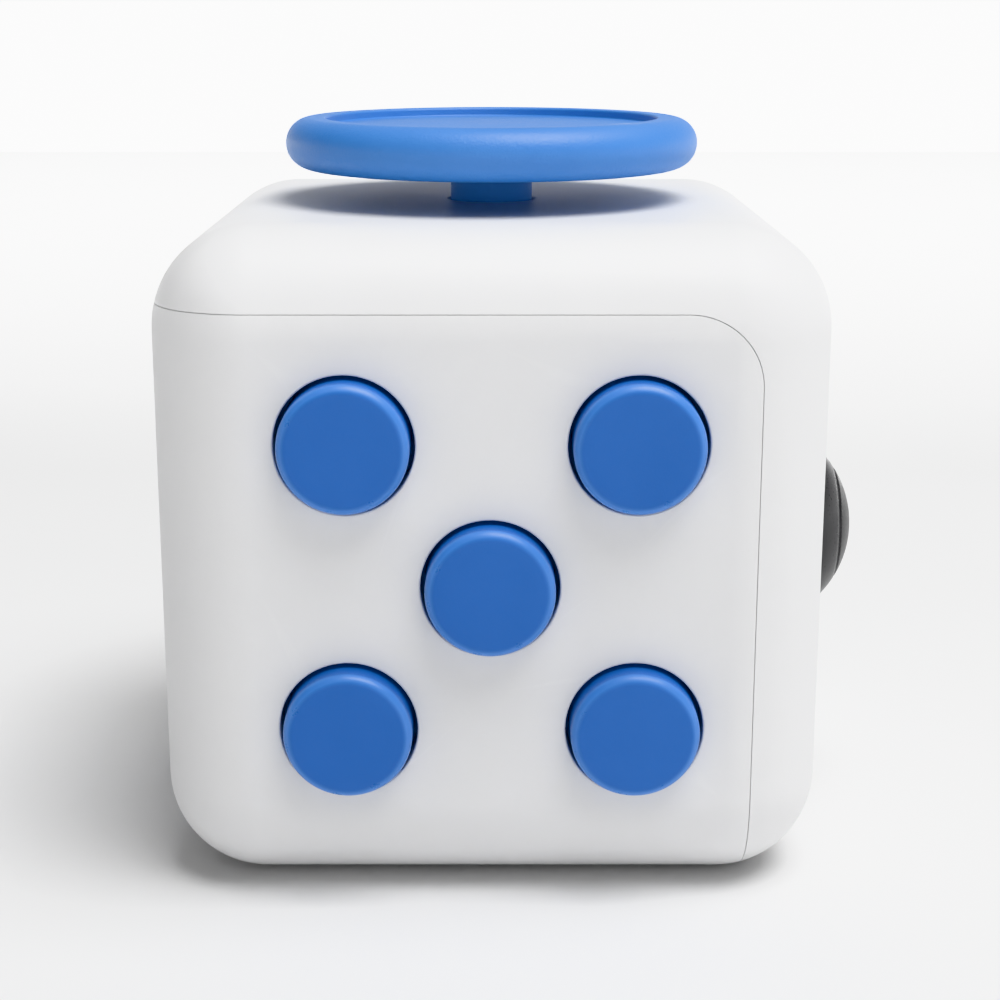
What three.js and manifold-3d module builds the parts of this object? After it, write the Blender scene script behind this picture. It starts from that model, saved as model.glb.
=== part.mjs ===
// Fidget cube: a two-part rounded shell with a hand toy on each of its six faces.
// Front: five push buttons. Right: sliding thumb stick. Left: flip rocker.
// Back: three thumb gears and a press-in ball. Top: spin disc. Base: a thumb dish.
// Millimetres. Origin: middle of the whole object's footprint, on the ground. +X right,
// +Y to the back, +Z up. Shapes are drawn about the body's own middle, then moved over by
// ORIGIN_SHIFT, because the stick stands out further than the rocker opposite it.

import * as THREE from "three";
import { RoundedBoxGeometry } from "three/addons/geometries/RoundedBoxGeometry.js";
import { mergeVertices } from "three/addons/utils/BufferGeometryUtils.js";
import Module from "manifold-3d";

const wasm = await Module();
wasm.setup();

// ---------- driving dimensions ----------

// Shell
const BODY = 33;
const HALF = BODY / 2;
const EDGE_ROUND = 5.1;
const WALL = 2;
const INSIDE = HALF - WALL;
const CEILING = BODY - WALL;
const SEAM_INSET = 3.8;
const SEAM_ROUND = 3.5;
const SEAM_GAP = 0.1;
const LIP_REACH = 0.9;
const LIP_CLEARANCE = 0.1;
const ORIGIN_SHIFT = -0.8;

// Screws and the bosses they bite into
const BOSS_R = 1.6;
const BOSS_HOLE_R = 0.95;
const SCREW_R = 0.8;
const SCREW_HEAD_R = 1.5;
const SCREW_HEAD = 0.9;
const SCREW_LENGTH = 3.4;

// Click face
const CLICK_Z = 16.01;
const BUTTON_PITCH_ACROSS = 6.93;
const BUTTON_PITCH_UP = 7.04;
const BUTTON_R = 3.12;
const BUTTON_HOLE_R = 3.34;
const BUTTON_PROUD = 1.25;
const BUTTON_EDGE = 0.4;
const BUTTON_FLANGE = 0.75;
const BUTTON_PEG_R = 1.2;
const BUTTON_PEG_Y = -12.2;
const DOME_TOP = -12.1;
const DOME_SEAT = -11.02;
const DOME_R = 2.6;
const CLICK_BOSS_PITCH = 10.4;
const CLICK_PLATE_FRONT = -11.2;
const CLICK_PLATE_BACK = -9.8;

// Flip face
const ROCKER_TILT = THREE.MathUtils.degToRad(14);
const ROCKER_HALF_WIDTH = 3.3;
const ROCKER_TIP = 3.6;
const ROCKER_END_R = 5.1;
const ROCKER_FLUSH = -0.1;
const ROCKER_PIVOT_X = -13.7;
const PIVOT_PIN_R = 0.7;
const FLIP_BOSS_PITCH = 9.3;
const FLIP_PLATE_X = -9.9;
const FACE_PLATE = 1;

// Roll face
const AXLE_Y = 13.5;
const AXLE_Z = 20.5;
const AXLE_R = 0.75;
const GEAR_R = 4.6;
const GEAR_WIDTH = 2.8;
const GEAR_PITCH = 4.4;
const GEAR_TEETH = 15;
const BALL_R = 3.4;
const BALL_Y = 14.7;
const BALL_Z = 10.8;
const ROLL_PLATE_Y = 8.4;
const ROLL_PLATE = 1.2;
const ROLL_SCREW_X = 6.2;
const ROLL_SCREW_Z = 9.5;

// Glide face
const STICK_Z = 15;
const STICK_DOME_R = 5.74;
const STICK_DOME_X = 14.2;
const STICK_NECK_R = 5.2;
const STICK_SKIRT_R = 8.55;
const STICK_PEG_R = 1.5;
const STICK_TRAVEL = 1;
const STICK_OPENING_R = 6.9;
const GLIDE_PLATE_X = 10.2;
const GLIDE_BOSS_PITCH = 8.3;

// Spin face
const DISC_R = 10.92;
const DISC_RIM_R = 1.32;
const DISC_UNDERSIDE = 34.66;
const DISC_RECESS_R = 8.8;
const DISC_RECESS = 0.45;
const SPIN_SHAFT_R = 2.17;
const SPIN_STEP = 29.3;
const SHAFT_CLEARANCE = 0.13;
const SLEEVE_WALL = 1.2;
const DETENT_WHEEL_R = 4.1;
const SPIN_LEAF_Y = -5.6;

// Thumb dish in the base
const DISH_HALF_LENGTH = 10.7;
const DISH_HALF_WIDTH = 8.3;
const DISH_HALF_HEIGHT = 5;
const DISH_DEPTH = 2.3;

// Allowances
const RUNNING_CLEARANCE = 0.06;
const SEAT_GAP = 0.05;
const THROUGH = 1;
const HOLE_FLOOR = 0.4;
const ROOTED = 0.5;

// ---------- materials ----------

const finish = (color, roughness, metalness) => ({ color, roughness, metalness });
const WHITE_SHELL = finish(0xe6e6e6, 0.42, 0);
const BLUE_PLASTIC = finish(0x2f74c8, 0.45, 0);
const DARK_RUBBER = finish(0x3b3b3d, 0.35, 0);
const INNER_PLASTIC = finish(0xc9ccd0, 0.55, 0);
const SILICONE = finish(0xdfe3e6, 0.7, 0);
const STEEL = finish(0xb9bcc0, 0.25, 1);
const SPRING_STEEL = finish(0x9ea3a8, 0.3, 1);

// ---------- solid helpers ----------

const X_AXIS = new THREE.Vector3(1, 0, 0);
const Y_AXIS = new THREE.Vector3(0, 1, 0);
const Z_AXIS = new THREE.Vector3(0, 0, 1);
const BACKWARD = new THREE.Vector3(0, -1, 0);

function solid(geometry) {
  const bare = geometry.index ? geometry.toNonIndexed() : geometry.clone();
  bare.deleteAttribute("normal");
  bare.deleteAttribute("uv");
  const merged = mergeVertices(bare, 1e-4);
  return new wasm.Manifold(
    new wasm.Mesh({
      numProp: 3,
      vertProperties: merged.attributes.position.array,
      triVerts: new Uint32Array(merged.index.array),
    }),
  );
}

const join = (first, ...others) => others.reduce((whole, piece) => whole.add(piece), first);
const cut = (first, ...tools) => tools.reduce((whole, tool) => whole.subtract(tool), first);

// A solid of revolution. The profile lists [radius, height] from the low end of the axis up.
function turned(profile, axis, segments = 16) {
  const points = profile.map(([radius, height]) => new THREE.Vector2(radius, height));
  const geometry = new THREE.LatheGeometry(points, segments);
  if (axis === "x") geometry.rotateZ(-Math.PI / 2);
  if (axis === "z") geometry.rotateX(Math.PI / 2);
  return solid(geometry);
}

function rod(radius, low, high, axis, segments = 16) {
  return turned([[0, low], [radius, low], [radius, high], [0, high]], axis, segments);
}

function block(xLow, xHigh, yLow, yHigh, zLow, zHigh) {
  const geometry = new THREE.BoxGeometry(xHigh - xLow, yHigh - yLow, zHigh - zLow);
  geometry.translate((xLow + xHigh) / 2, (yLow + yHigh) / 2, (zLow + zHigh) / 2);
  return solid(geometry);
}

// A flat outline given as [across, up] points, thickened from low to high along one axis.
// Across and up are Y and Z for the x axis, X and Z for the y axis, X and Y for the z axis.
function slab(outline, low, high, axis, rounding = 0) {
  const shape = new THREE.Shape(outline.map(([across, up]) => new THREE.Vector2(across, up)));
  const geometry = new THREE.ExtrudeGeometry(shape, {
    depth: high - low - 2 * rounding,
    bevelEnabled: rounding > 0,
    bevelThickness: rounding,
    bevelSize: rounding,
    bevelOffset: -rounding,
    bevelSegments: 2,
  });
  geometry.translate(0, 0, rounding);
  const basis = new THREE.Matrix4();
  if (axis === "x") basis.makeBasis(Y_AXIS, Z_AXIS, X_AXIS).setPosition(low, 0, 0);
  if (axis === "y") basis.makeBasis(X_AXIS, Z_AXIS, BACKWARD).setPosition(0, high, 0);
  if (axis === "z") basis.makeBasis(X_AXIS, Y_AXIS, Z_AXIS).setPosition(0, 0, low);
  return solid(geometry.applyMatrix4(basis));
}

function roundedCube(size, radius, segments) {
  const geometry = new RoundedBoxGeometry(size, size, size, segments, radius);
  return solid(geometry);
}

function rectangle(halfAcross, halfUp, corner = 0, steps = 3) {
  const points = [];
  const signs = [[1, 1], [-1, 1], [-1, -1], [1, -1]];
  signs.forEach(([sideAcross, sideUp], quarter) => {
    const count = corner > 0 ? steps : 0;
    for (let step = 0; step <= count; step += 1) {
      const angle = (quarter + (count ? step / count : 0)) * (Math.PI / 2);
      points.push([
        sideAcross * (halfAcross - corner) + corner * Math.cos(angle),
        sideUp * (halfUp - corner) + corner * Math.sin(angle),
      ]);
    }
  });
  return points;
}

const moved = (outline, across, up) => outline.map(([a, b]) => [a + across, b + up]);

// An outline that goes round once, its radius set by the angle.
function wavyOutline(steps, radiusAt) {
  return Array.from({ length: steps }, (unused, step) => {
    const angle = (step / steps) * 2 * Math.PI;
    return [radiusAt(angle) * Math.cos(angle), radiusAt(angle) * Math.sin(angle)];
  });
}

// A strip of even thickness along a bent line of [across, up] points.
function stripOutline(line, thickness) {
  const side = (offset) =>
    line.map(([across, up], index) => {
      const before = line[Math.max(index - 1, 0)];
      const after = line[Math.min(index + 1, line.length - 1)];
      const run = new THREE.Vector2(after[0] - before[0], after[1] - before[1]).normalize();
      return [across - run.y * offset, up + run.x * offset];
    });
  return [...side(-thickness / 2), ...side(thickness / 2).reverse()];
}

// A pan-head screw with a slot. Its head sits at `seat` and its shank runs on in
// direction `sense` along the axis.
function screw(axis, seat, sense) {
  const shank = [
    [0, seat - sense * SCREW_HEAD],
    [SCREW_HEAD_R * 0.8, seat - sense * SCREW_HEAD],
    [SCREW_HEAD_R, seat - sense * SCREW_HEAD * 0.5],
    [SCREW_HEAD_R, seat],
    [SCREW_R, seat],
    [SCREW_R, seat + sense * (SCREW_LENGTH - 0.5)],
    [0, seat + sense * SCREW_LENGTH],
  ];
  const body = turned(sense > 0 ? shank : shank.reverse(), axis, 8);
  const slotDepth = 0.4;
  const top = seat - sense * SCREW_HEAD;
  const low = Math.min(top, top + sense * slotDepth) - (sense > 0 ? 1 : 0);
  return cut(body, slab(rectangle(SCREW_HEAD_R + 0.5, 0.2), low, low + 1 + slotDepth, axis));
}

// ---------- assembly ----------

const group = new THREE.Group();
group.name = "fidget_cube";

function add(name, shape, look) {
  const mesh = shape.getMesh();
  const geometry = new THREE.BufferGeometry();
  geometry.setAttribute("position", new THREE.BufferAttribute(mesh.vertProperties, 3));
  geometry.setIndex(new THREE.BufferAttribute(mesh.triVerts, 1));
  geometry.computeVertexNormals();
  const node = new THREE.Mesh(geometry, new THREE.MeshStandardMaterial(look));
  node.name = name;
  node.position.x = ORIGIN_SHIFT;
  group.add(node);
}

const FACE_PATTERN = [
  ["upper_left", -1, 1],
  ["upper_right", 1, 1],
  ["centre", -0.009, 0.011],
  ["lower_left", -1, -1],
  ["lower_right", 1, -1],
];
const EDGE_PATTERN = [
  ["left", -1, 0],
  ["right", 1, 0],
  ["lower", 0, -1],
  ["upper", 0, 1],
];

// Where the buttons sit, and where the screws of their plate sit, on the front.
const buttonPlace = (sideX, sideZ) => [
  sideX * BUTTON_PITCH_ACROSS,
  0,
  CLICK_Z + sideZ * BUTTON_PITCH_UP,
];
const clickScrewPlace = (sideX, sideZ) => [
  sideX * CLICK_BOSS_PITCH,
  0,
  CLICK_Z + sideZ * CLICK_BOSS_PITCH,
];

// ---------- shell halves ----------

const atCubeCentre = (shape) => shape.translate([0, 0, HALF]);
const outerSkin = atCubeCentre(roundedCube(BODY, EDGE_ROUND, 4));
const innerSkin = atCubeCentre(roundedCube(2 * INSIDE, EDGE_ROUND - WALL, 2));

// Everything to the left, front and below of the seam, grown by a margin.
function seamSide(margin) {
  const size = 60 + 2 * margin;
  const corner = HALF - SEAM_INSET + margin;
  const shape = roundedCube(size, SEAM_ROUND + margin, 3);
  return shape.translate([corner - size / 2, corner - size / 2, corner + HALF - size / 2]);
}

// The inner half of the wall, in which the front half carries its lip.
function lipSkin(clearance) {
  const size = BODY - WALL + 2 * clearance;
  return atCubeCentre(roundedCube(size, EDGE_ROUND - WALL / 2 + clearance, 3));
}

function frontLeftBaseShell() {
  const lip = cut(lipSkin(0), innerSkin).intersect(seamSide(LIP_REACH));
  let shell = join(cut(outerSkin, innerSkin).intersect(seamSide(-SEAM_GAP / 2)), lip);

  const dish = (grow, floor) => {
    const geometry = new THREE.SphereGeometry(1, 24, 12).rotateX(Math.PI / 2);
    geometry.scale(DISH_HALF_LENGTH + grow, DISH_HALF_WIDTH + grow, DISH_HALF_HEIGHT + grow);
    geometry.translate(0, 0, floor);
    return solid(geometry);
  };
  const dishCentre = DISH_DEPTH - DISH_HALF_HEIGHT;
  const aboveBase = block(-INSIDE, INSIDE, -INSIDE, INSIDE, WALL / 2, HALF);
  shell = join(shell, dish(WALL * 0.9, dishCentre).intersect(aboveBase));
  shell = cut(shell, dish(0, dishCentre));

  for (const [, sideX, sideZ] of EDGE_PATTERN) {
    const place = clickScrewPlace(sideX, sideZ);
    const boss = rod(BOSS_R, -INSIDE - ROOTED, CLICK_PLATE_FRONT - SEAT_GAP, "y").translate(place);
    const hole = rod(BOSS_HOLE_R, HOLE_FLOOR - INSIDE, CLICK_PLATE_FRONT + THROUGH, "y", 10);
    shell = cut(join(shell, boss), hole.translate(place));
  }
  for (const [, sideX, sideZ] of FACE_PATTERN) {
    const hole = rod(BUTTON_HOLE_R, -HALF - THROUGH, THROUGH - INSIDE, "y", 24);
    shell = cut(shell, hole.translate(buttonPlace(sideX, sideZ)));
  }

  for (const side of [-1, 1]) {
    const place = [0, 0, HALF + side * FLIP_BOSS_PITCH];
    const boss = rod(BOSS_R, -INSIDE - ROOTED, FLIP_PLATE_X - SEAT_GAP, "x").translate(place);
    const hole = rod(BOSS_HOLE_R, HOLE_FLOOR - INSIDE, FLIP_PLATE_X + THROUGH, "x", 10);
    shell = cut(join(shell, boss), hole.translate(place));
  }
  const rockerOpening = rectangle(ROCKER_HALF_WIDTH + 0.2, ROCKER_END_R + 0.15, 0.8);
  return cut(shell, slab(moved(rockerOpening, 0, HALF), -HALF - THROUGH, THROUGH - INSIDE, "x"));
}

function topRightBackShell() {
  let shell = cut(outerSkin, innerSkin, seamSide(SEAM_GAP / 2));
  shell = cut(shell, lipSkin(LIP_CLEARANCE).intersect(seamSide(LIP_REACH + LIP_CLEARANCE)));

  // Roll face: gear slots, a ball seat that narrows outwards, and two bosses.
  for (const side of [-1, 0, 1]) {
    const slot = rod(GEAR_R + 0.3, -GEAR_WIDTH / 2 - 0.25, GEAR_WIDTH / 2 + 0.25, "x", 32);
    shell = cut(shell, slot.translate([side * GEAR_PITCH, AXLE_Y, AXLE_Z]));
  }
  const ballSeat = new THREE.SphereGeometry(BALL_R + 0.25, 20, 12).translate(0, BALL_Y, BALL_Z);
  shell = cut(shell, solid(ballSeat));
  for (const side of [-1, 1]) {
    const place = [side * ROLL_SCREW_X, 0, ROLL_SCREW_Z];
    const boss = rod(BOSS_R, ROLL_PLATE_Y + SEAT_GAP, INSIDE + ROOTED, "y").translate(place);
    const hole = rod(BOSS_HOLE_R, ROLL_PLATE_Y - THROUGH, INSIDE - HOLE_FLOOR, "y", 10);
    shell = cut(join(shell, boss), hole.translate(place));
  }

  // Glide face: round opening and two bosses on a diagonal.
  const stickOpening = rod(STICK_OPENING_R, INSIDE - THROUGH, HALF + THROUGH, "x", 40);
  shell = cut(shell, stickOpening.translate([0, 0, STICK_Z]));
  for (const side of [-1, 1]) {
    const place = [0, side * GLIDE_BOSS_PITCH, STICK_Z + side * GLIDE_BOSS_PITCH];
    const boss = rod(BOSS_R, GLIDE_PLATE_X + FACE_PLATE + SEAT_GAP, INSIDE + ROOTED, "x").translate(place);
    const hole = rod(BOSS_HOLE_R, GLIDE_PLATE_X, INSIDE - HOLE_FLOOR, "x", 10);
    shell = cut(join(shell, boss), hole.translate(place));
  }

  // Spin face: a sleeve round the shaft and a split post that grips the leaf spring.
  const sleeve = rod(SPIN_SHAFT_R + SLEEVE_WALL, SPIN_STEP + 0.2, CEILING + ROOTED, "z");
  shell = join(shell, sleeve);
  shell = cut(shell, rod(SPIN_SHAFT_R + SHAFT_CLEARANCE, SPIN_STEP - THROUGH, BODY + THROUGH, "z", 28));
  for (const side of [-1, 1]) {
    const post = block(-8.8, -6.6, -0.4, 0.4, 27.4, CEILING + ROOTED);
    shell = join(shell, post.translate([0, SPIN_LEAF_Y + side * 0.65, 0]));
  }
  return shell;
}

add("front_left_base_shell", frontLeftBaseShell(), WHITE_SHELL);
add("top_right_back_shell", topRightBackShell(), WHITE_SHELL);

// ---------- click face ----------

function pushButton() {
  const face = -HALF - BUTTON_PROUD;
  const behindWall = -INSIDE + 0.15;
  return turned(
    [
      [0, face],
      [BUTTON_R - BUTTON_EDGE, face],
      [BUTTON_R, face + BUTTON_EDGE],
      [BUTTON_R, behindWall],
      [BUTTON_R + BUTTON_FLANGE, behindWall],
      [BUTTON_R + BUTTON_FLANGE, behindWall + 0.8],
      [BUTTON_PEG_R, behindWall + 0.8],
      [BUTTON_PEG_R, BUTTON_PEG_Y],
      [0, BUTTON_PEG_Y],
    ],
    "y",
    24,
  );
}

// A thin pressed dome that snaps flat when its button is pushed.
function snapDome() {
  return turned(
    [
      [0, DOME_TOP],
      [1.4, DOME_TOP + 0.24],
      [2.3, DOME_TOP + 0.75],
      [DOME_R, DOME_SEAT],
      [DOME_R - 0.25, DOME_SEAT],
      [2.05, DOME_TOP + 0.8],
      [1.3, DOME_TOP + 0.42],
      [0, DOME_TOP + 0.2],
    ],
    "y",
    14,
  );
}

// A soft plug that stands in for a dome under the two silent buttons.
function silentPad() {
  return turned(
    [
      [0, DOME_TOP],
      [1.3, DOME_TOP],
      [1.6, DOME_TOP + 0.6],
      [DOME_R, DOME_TOP + 0.8],
      [DOME_R, DOME_SEAT],
      [0, DOME_SEAT],
    ],
    "y",
    14,
  );
}

for (const [place, sideX, sideZ] of FACE_PATTERN) {
  const at = buttonPlace(sideX, sideZ);
  add("click_button_" + place, pushButton().translate(at), BLUE_PLASTIC);
  if (sideX * sideZ > 0) add("silent_pad_" + place, silentPad().translate(at), SILICONE);
  else add("snap_dome_" + place, snapDome().translate(at), SPRING_STEEL);
}

function clickPlate() {
  const reach = 11.6;
  const chamfer = 6.4;
  const outline = [
    [reach, -chamfer],
    [reach, chamfer],
    [chamfer, reach],
    [-chamfer, reach],
    [-reach, chamfer],
    [-reach, -chamfer],
    [-chamfer, -reach],
    [chamfer, -reach],
  ];
  let plate = slab(moved(outline, 0, CLICK_Z), CLICK_PLATE_FRONT, CLICK_PLATE_BACK, "y");
  for (const [, sideX, sideZ] of FACE_PATTERN) {
    const seatDepth = 0.25;
    const seat = rod(DOME_R + 0.15, CLICK_PLATE_FRONT - THROUGH, CLICK_PLATE_FRONT + seatDepth, "y", 12);
    plate = cut(plate, seat.translate(buttonPlace(sideX, sideZ)));
  }
  for (const [, sideX, sideZ] of EDGE_PATTERN) {
    const hole = rod(BOSS_HOLE_R, CLICK_PLATE_FRONT - THROUGH, CLICK_PLATE_BACK + THROUGH, "y", 10);
    plate = cut(plate, hole.translate(clickScrewPlace(sideX, sideZ)));
  }
  return plate;
}

add("click_plate", clickPlate(), INNER_PLASTIC);
for (const [place, sideX, sideZ] of EDGE_PATTERN) {
  const shape = screw("y", CLICK_PLATE_BACK + SEAT_GAP, -1);
  add("click_screw_" + place, shape.translate(clickScrewPlace(sideX, sideZ)), STEEL);
}

// ---------- flip face ----------

// Side view of the rocker about its pivot: [height above the pivot, depth into the cube].
function rockerOutline() {
  const dip = (ROCKER_PIVOT_X + HALF + ROCKER_FLUSH) / Math.cos(ROCKER_TILT);
  const tipOut = dip + ROCKER_TIP * Math.tan(ROCKER_TILT);
  const topAngle = Math.atan2(tipOut, ROCKER_TIP);
  const endArc = [0.9, 0.65, 0.4, 0.15].map((share) => {
    const angle = topAngle * share;
    return [-ROCKER_END_R * Math.sin(angle), ROCKER_END_R * Math.cos(angle)];
  });
  const upperHalf = [
    [-dip, 0],
    [-tipOut + 0.15, ROCKER_TIP - 0.6],
    [-tipOut + 0.12, ROCKER_TIP - 0.1],
    ...endArc,
    [-0.45, ROCKER_END_R - 0.6],
    [-1.6, ROCKER_END_R - 1.4],
    [-1.5, 1.7],
    [0.4, 1.5],
    [1.3, 0.8],
    [2.5, 0.3],
  ];
  const lowerHalf = upperHalf.slice(1).map(([depth, height]) => [depth, -height]);
  return [...lowerHalf.reverse(), ...upperHalf];
}

function flipRocker() {
  const body = slab(rockerOutline(), -ROCKER_HALF_WIDTH, ROCKER_HALF_WIDTH, "y", 0.35);
  const bore = rod(PIVOT_PIN_R + RUNNING_CLEARANCE, -5, 5, "y", 20);
  const tilt = THREE.MathUtils.radToDeg(ROCKER_TILT);
  return cut(body, bore).rotate([0, tilt, 0]).translate([ROCKER_PIVOT_X, 0, HALF]);
}

function flipBracket() {
  const outline = [
    [5.2, -3],
    [5.2, 3],
    [2.2, 6],
    [2.2, FLIP_BOSS_PITCH + 2],
    [-2.2, FLIP_BOSS_PITCH + 2],
    [-2.2, 6],
    [-5.2, 3],
    [-5.2, -3],
    [-2.2, -6],
    [-2.2, -FLIP_BOSS_PITCH - 2],
    [2.2, -FLIP_BOSS_PITCH - 2],
    [2.2, -6],
  ];
  let bracket = slab(moved(outline, 0, HALF), FLIP_PLATE_X, FLIP_PLATE_X + FACE_PLATE, "x");
  for (const side of [-1, 1]) {
    const ear = block(-INSIDE + 0.3, FLIP_PLATE_X + 0.5, -0.6, 0.6, HALF - 2, HALF + 2);
    const hole = rod(BOSS_HOLE_R, FLIP_PLATE_X - 1, FLIP_PLATE_X + 2, "x", 10);
    bracket = join(bracket, ear.translate([0, side * 4.5, 0]));
    bracket = cut(bracket, hole.translate([0, 0, HALF + side * FLIP_BOSS_PITCH]));
  }
  const pinHole = rod(PIVOT_PIN_R + RUNNING_CLEARANCE, -6, 6, "y", 20);
  return cut(bracket, pinHole.translate([ROCKER_PIVOT_X, 0, HALF]));
}

// A bowed leaf with two notches: the rocker's nose rests in one of them.
function flipSpring() {
  const half = [
    [-10.1, 6],
    [-10.1, 4.4],
    [-11.12, 1.3],
    [-10.85, 0.62],
    [-11.05, 0.1],
  ];
  const otherHalf = half.map(([across, up]) => [across, -up]).reverse();
  const line = [...half, ...otherHalf];
  return slab(moved(stripOutline(line, 0.22), 0, HALF), -1.6, 1.6, "y");
}

add("flip_rocker", flipRocker(), BLUE_PLASTIC);
add("flip_bracket", flipBracket(), INNER_PLASTIC);
add("flip_pivot_pin", rod(PIVOT_PIN_R, -5, 5, "y", 20).translate([ROCKER_PIVOT_X, 0, HALF]), STEEL);
add("flip_spring", flipSpring(), SPRING_STEEL);
for (const [place, side] of [["lower", -1], ["upper", 1]]) {
  const shape = screw("x", FLIP_PLATE_X + FACE_PLATE + SEAT_GAP, -1);
  add("flip_screw_" + place, shape.translate([0, 0, HALF + side * FLIP_BOSS_PITCH]), STEEL);
}

// ---------- roll face ----------

function thumbGear() {
  const toothPoints = 4;
  const outline = wavyOutline(GEAR_TEETH * toothPoints, (angle) => {
    const phase = Math.round((angle / (2 * Math.PI)) * GEAR_TEETH * toothPoints) % toothPoints;
    return phase < 2 ? GEAR_R : GEAR_R - 0.55;
  });
  const wheel = slab(outline, -GEAR_WIDTH / 2, GEAR_WIDTH / 2, "x");
  return cut(wheel, rod(AXLE_R + RUNNING_CLEARANCE, -GEAR_WIDTH, GEAR_WIDTH, "x", 20));
}

for (const [place, side] of [["left", -1], ["middle", 0], ["right", 1]]) {
  add("roll_gear_" + place, thumbGear().translate([side * GEAR_PITCH, AXLE_Y, AXLE_Z]), BLUE_PLASTIC);
}
add("roll_axle", rod(AXLE_R, -8.2, 8.2, "x", 20).translate([0, AXLE_Y, AXLE_Z]), STEEL);

const rollBall = new THREE.SphereGeometry(BALL_R, 20, 12).translate(0, BALL_Y, BALL_Z);
add("roll_ball", solid(rollBall), STEEL);

// A cup that cradles the ball, with a spigot for the spring behind it.
function ballCup() {
  const cup = turned(
    [
      [0, 8.9],
      [1.2, 8.9],
      [1.2, 9.8],
      [2.9, 9.8],
      [2.9, 12.3],
      [0, 12.3],
    ],
    "y",
  );
  const hollow = solid(new THREE.SphereGeometry(BALL_R + 0.12, 20, 12).translate(0, BALL_Y, 0));
  return cut(cup, hollow).translate([0, 0, BALL_Z]);
}

function ballSpring() {
  const turns = 3;
  const stepsPerTurn = 8;
  const [low, high, coilR] = [6.5, 9.4, 1.65];
  const points = Array.from({ length: turns * stepsPerTurn + 1 }, (unused, step) => {
    const angle = (step / stepsPerTurn) * 2 * Math.PI;
    const along = low + ((high - low) * step) / (turns * stepsPerTurn);
    return new THREE.Vector3(coilR * Math.cos(angle), along, coilR * Math.sin(angle));
  });
  const wire = new THREE.Shape(wavyOutline(5, () => 0.2).map(([a, b]) => new THREE.Vector2(a, b)));
  const path = new THREE.CatmullRomCurve3(points);
  const geometry = new THREE.ExtrudeGeometry(wire, { steps: turns * stepsPerTurn, extrudePath: path });
  return solid(geometry).translate([0, 0, BALL_Z]);
}

// Plate behind the gears and ball, with cheeks for the axle and a sleeve round the cup.
function rollBracket() {
  const outline = [
    [-8.4, 7.4],
    [8.4, 7.4],
    [8.4, AXLE_Z + 4],
    [-8.4, AXLE_Z + 4],
  ];
  let bracket = slab(outline, ROLL_PLATE_Y - ROLL_PLATE, ROLL_PLATE_Y, "y");
  for (const side of [-1, 1]) {
    const cheek = block(-0.7, 0.7, ROLL_PLATE_Y - 1, 14.4, AXLE_Z - 2.2, AXLE_Z + 2.2);
    bracket = join(bracket, cheek.translate([side * 7.7, 0, 0]));
    const hole = rod(BOSS_HOLE_R, ROLL_PLATE_Y - 2, ROLL_PLATE_Y + 1, "y", 10);
    bracket = cut(bracket, hole.translate([side * ROLL_SCREW_X, 0, ROLL_SCREW_Z]));
  }
  const atBall = (shape) => shape.translate([0, 0, BALL_Z]);
  bracket = join(bracket, atBall(rod(3.8, ROLL_PLATE_Y - 1, 11.3, "y")));
  bracket = join(bracket, atBall(rod(3, 5.4, ROLL_PLATE_Y - 1, "y")));
  bracket = cut(bracket, atBall(rod(3.05, ROLL_PLATE_Y + 0.2, 12, "y")));
  bracket = cut(bracket, atBall(rod(2.2, 6.2, 12, "y")));
  const axleHole = rod(AXLE_R + RUNNING_CLEARANCE, -9, 9, "x", 20);
  return cut(bracket, axleHole.translate([0, AXLE_Y, AXLE_Z]));
}

add("ball_cup", ballCup(), INNER_PLASTIC);
add("ball_spring", ballSpring(), SPRING_STEEL);
add("roll_bracket", rollBracket(), INNER_PLASTIC);
for (const [place, side] of [["left", -1], ["right", 1]]) {
  const shape = screw("y", ROLL_PLATE_Y - ROLL_PLATE - SEAT_GAP, 1);
  add("roll_screw_" + place, shape.translate([side * ROLL_SCREW_X, 0, ROLL_SCREW_Z]), STEEL);
}

// ---------- glide face ----------

const atStick = (shape) => shape.translate([0, 0, STICK_Z]);

function stickCap() {
  const lipAngle = 0.39;
  const grooveAngle = 0.98;
  const onDome = (angle, depth = 0) => [
    (STICK_DOME_R - depth) * Math.cos(angle),
    STICK_DOME_X + (STICK_DOME_R - depth) * Math.sin(angle),
  ];
  return turned(
    [
      [0, 10.4],
      [STICK_PEG_R - 0.2, 10.4],
      [STICK_PEG_R, 10.6],
      [STICK_PEG_R, 13.45],
      [STICK_SKIRT_R, 13.45],
      [STICK_SKIRT_R, 14.2],
      [STICK_NECK_R, 14.2],
      [STICK_NECK_R, 16.3],
      ...[0, 0.25, 0.5, 0.75].map((share) => onDome(lipAngle + share * (grooveAngle - lipAngle))),
      onDome(grooveAngle - 0.03),
      onDome(grooveAngle, 0.18),
      onDome(grooveAngle + 0.03),
      ...[0.33, 0.66].map((share) => onDome(grooveAngle + share * (Math.PI / 2 - grooveAngle))),
      [0, STICK_DOME_X + STICK_DOME_R],
    ],
    "x",
    28,
  );
}

// Carriage: it slides front to back in the tray, and its slot lets the peg slide up and down.
function glideCarriage() {
  const plate = slab(rectangle(3.4, 4), 11.5, 12.6, "x");
  const slot = slab(rectangle(STICK_PEG_R + 0.1, STICK_PEG_R + STICK_TRAVEL + 0.1), 11, 13, "x");
  return cut(plate, slot);
}

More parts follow.
